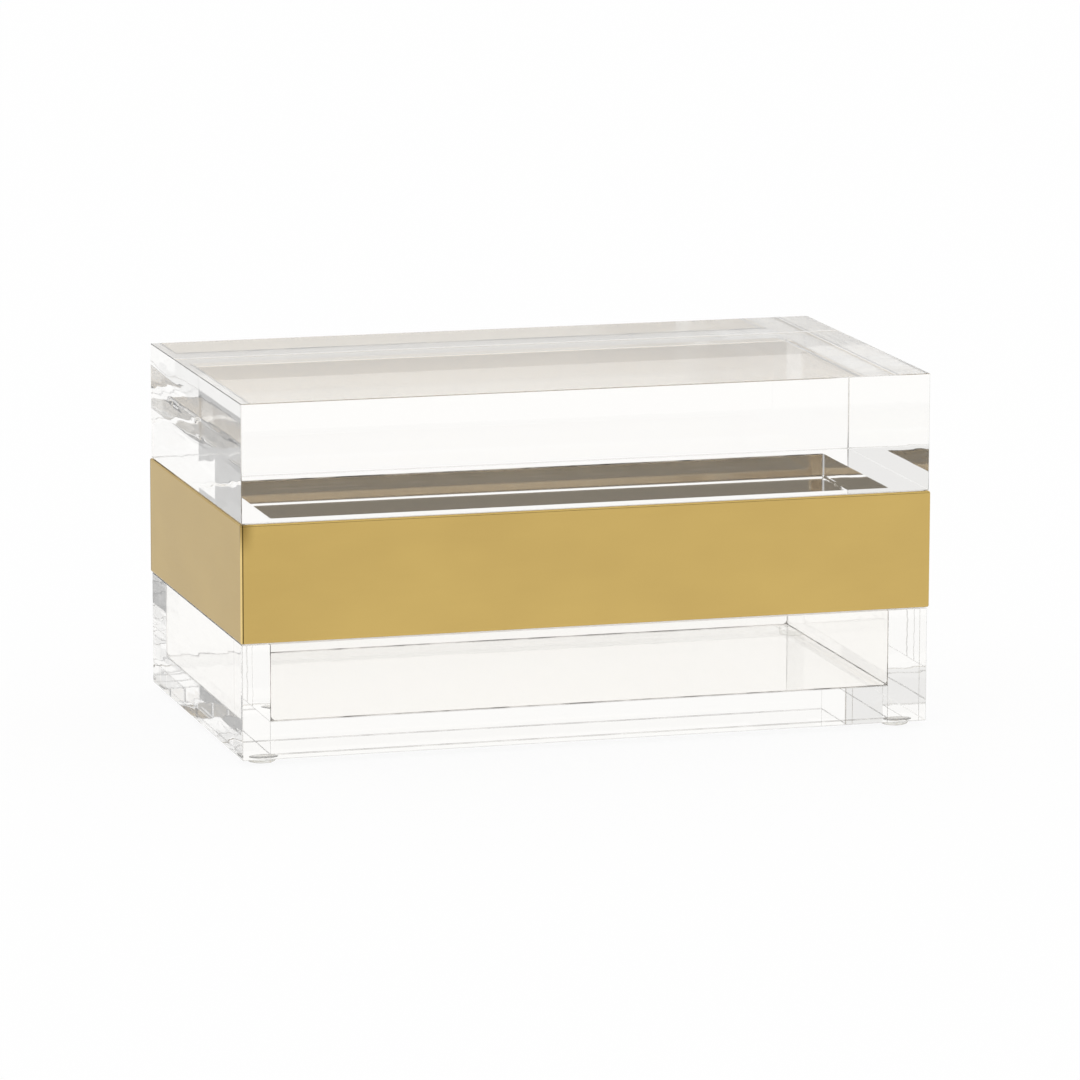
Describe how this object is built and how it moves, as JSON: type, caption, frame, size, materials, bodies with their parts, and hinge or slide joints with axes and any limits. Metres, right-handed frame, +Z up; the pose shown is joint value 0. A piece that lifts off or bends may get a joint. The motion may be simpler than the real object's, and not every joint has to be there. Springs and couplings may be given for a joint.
{
  "type": "acrylic keepsake box",
  "caption": "Rectangular clear acrylic keepsake box with thick walls, a gold metal band round its upper half and a solid block lid that lifts off.",
  "frame": {"origin": "under the middle of the box, on the plane its four feet stand on", "axes": "+X along the length, +Y from the front to the back, +Z up, the way the lid lifts"},
  "size_m": [0.255, 0.1406, 0.1294],
  "materials": {
    "clear_acrylic": "polished and clear",
    "gold_metal": "satin gold",
    "clear_bumper": "smooth and clear"
  },
  "bodies": {
    "base": {"wall_front": "clear_acrylic", "wall_back": "clear_acrylic", "wall_left": "clear_acrylic", "wall_right": "clear_acrylic", "floor_plate": "clear_acrylic", "metal_band": "gold_metal", "foot_front_left": "clear_bumper", "foot_front_right": "clear_bumper", "foot_back_left": "clear_bumper", "foot_back_right": "clear_bumper"},
    "lid": {"lid_block": "clear_acrylic", "lid_plug": "clear_acrylic"}
  },
  "joints": [
    {"name": "lid_lift", "type": "slide", "parent": "base", "child": "lid", "axis": [0, 0, 1], "range_m": [0, 0.1]}
  ]
}
